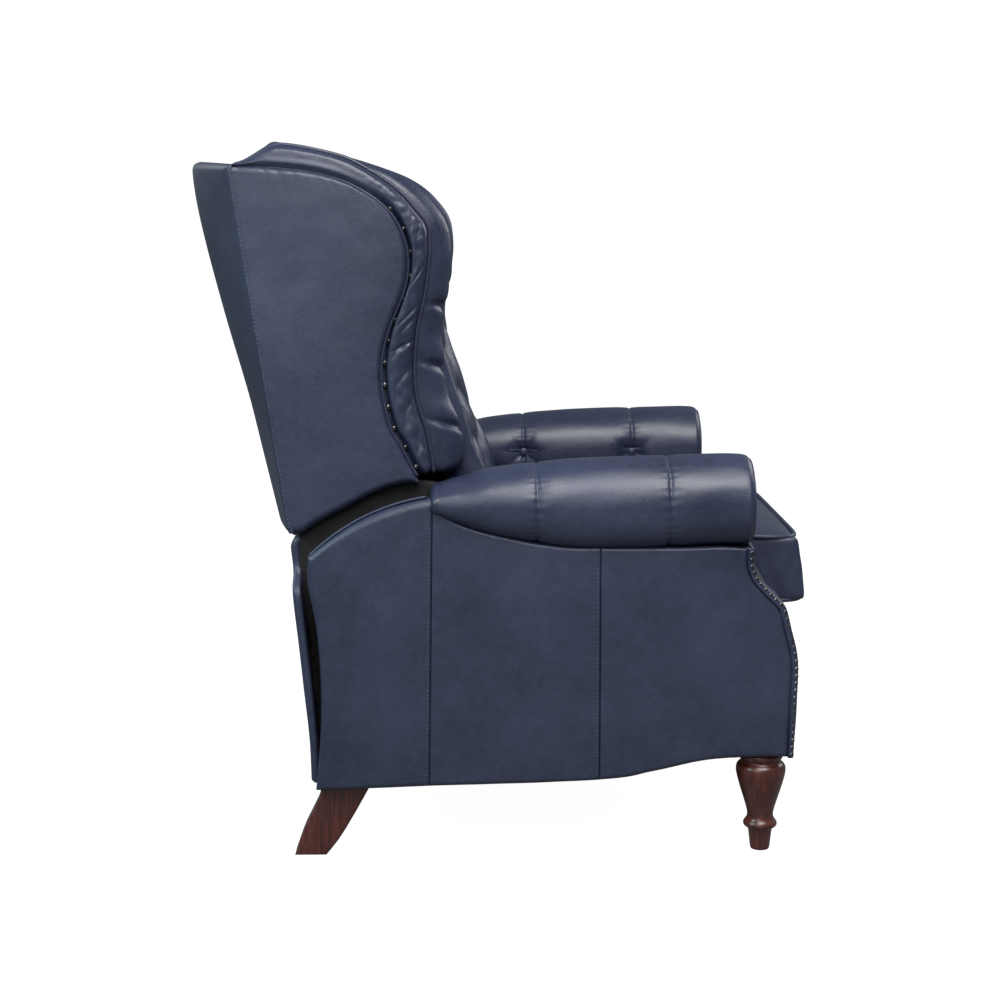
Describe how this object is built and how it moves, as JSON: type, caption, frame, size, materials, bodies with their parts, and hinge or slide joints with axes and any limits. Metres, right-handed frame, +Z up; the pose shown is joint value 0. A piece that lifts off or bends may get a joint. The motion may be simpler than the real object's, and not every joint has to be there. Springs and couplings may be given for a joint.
{
  "type": "recliner armchair",
  "caption": "Push-back wing recliner in leather with a tufted inside back, rolled arms, nailed edges, turned front legs and a linked footrest that lifts as the back reclines.",
  "frame": {"origin": "floor level under the middle of the chair's overall box", "axes": "+Z up, the chair faces -Y, +X towards the sitter's left arm"},
  "size_m": [0.836, 0.996, 1.1072],
  "materials": {
    "leather": "semi-gloss navy leather",
    "cherry_wood": "satin dark cherry stain",
    "plywood": "bare",
    "steel": "black satin",
    "spring_wire": "bright drawn wire",
    "nylon": "matt"
  },
  "bodies": {
    "base": {"arm_frame_right": "plywood", "arm_frame_left": "plywood", "outside_arm_right": "leather", "outside_arm_left": "leather", "inside_arm_right": "leather", "inside_arm_left": "leather", "arm_facing_right": "leather", "arm_facing_left": "leather", "arm_roll_right": "leather", "arm_roll_left": "leather", "front_leg_right": "cherry_wood", "front_leg_left": "cherry_wood", "rear_leg_right": "cherry_wood", "rear_leg_left": "cherry_wood", "rear_rail": "plywood", "rear_panel": "leather", "slide_rail_right": "steel", "slide_rail_left": "steel", "cross_tube_front": "steel", "cross_tube_rear": "steel"},
    "seat": {"seat_frame": "plywood", "seat_spring_1": "spring_wire", "seat_spring_2": "spring_wire", "seat_spring_3": "spring_wire", "seat_cushion": "leather", "seat_side_plate_right": "steel", "seat_side_plate_left": "steel", "seat_cross_tube": "steel", "glide_bush_right_1": "nylon", "glide_bush_right_2": "nylon", "glide_bush_left_1": "nylon", "glide_bush_left_2": "nylon"},
    "back": {"back_post_right": "plywood", "back_post_left": "plywood", "back_bracket_right": "steel", "back_bracket_left": "steel", "back_top_rail": "plywood", "back_bottom_rail": "plywood", "back_spring_1": "spring_wire", "back_spring_2": "spring_wire", "outside_back": "leather", "outside_wing_right": "leather", "outside_wing_left": "leather", "wing_pad_right": "leather", "wing_pad_left": "leather", "inside_back_pad": "leather"},
    "drive": {"drive_link_right": "steel", "drive_link_left": "steel", "drive_tube": "steel"},
    "idler": {"idler_link_right": "steel", "idler_link_left": "steel"},
    "carrier": {"carrier_link_right": "steel", "carrier_link_left": "steel", "carrier_tube": "steel"},
    "control": {"control_link_right": "steel", "control_link_left": "steel"},
    "footrest": {"footrest_board": "plywood", "footrest_pad": "leather", "footrest_bracket_right": "steel", "footrest_bracket_left": "steel"}
  },
  "joints": [
    {"name": "seat_slide", "type": "slide", "parent": "base", "child": "seat", "axis": [0, -0.9848, 0.1736], "range_m": [0, 0.04]},
    {"name": "back_recline", "type": "hinge", "parent": "seat", "child": "back", "pos_m": [0, 0.1515, 0.3], "axis": [-1, 0, 0], "range_deg": [0, 28]},
    {"name": "drive_swing", "type": "hinge", "parent": "seat", "child": "drive", "pos_m": [0, -0.3385, 0.28], "axis": [-1, 0, 0], "range_deg": [0, 130]},
    {"name": "idler_swing", "type": "hinge", "parent": "seat", "child": "idler", "pos_m": [0, -0.37815, 0.29385], "axis": [-1, 0, 0], "range_deg": [0, 130]},
    {"name": "carrier_swing", "type": "hinge", "parent": "drive", "child": "carrier", "pos_m": [0, -0.17467, 0.16528], "axis": [-1, 0, 0], "range_deg": [-130, 0]},
    {"name": "footrest_turn", "type": "hinge", "parent": "carrier", "child": "footrest", "pos_m": [0, -0.3885, 0.24], "axis": [-1, 0, 0], "range_deg": [0, 95]},
    {"name": "control_swing", "type": "hinge", "parent": "idler", "child": "control", "pos_m": [0, -0.20185, 0.18747], "axis": [-1, 0, 0], "range_deg": [-133.75, 0]}
  ],
  "couplings": [
    {"joint": "seat_slide", "follows": "back_recline", "m_per_rad": 0.08185},
    {"joint": "drive_swing", "follows": "back_recline", "ratio": 4.6429},
    {"joint": "idler_swing", "follows": "back_recline", "ratio": 4.6429},
    {"joint": "carrier_swing", "follows": "back_recline", "ratio": -4.6429},
    {"joint": "footrest_turn", "follows": "back_recline", "ratio": 3.3929},
    {"joint": "control_swing", "follows": "back_recline", "ratio": -4.7766}
  ]
}
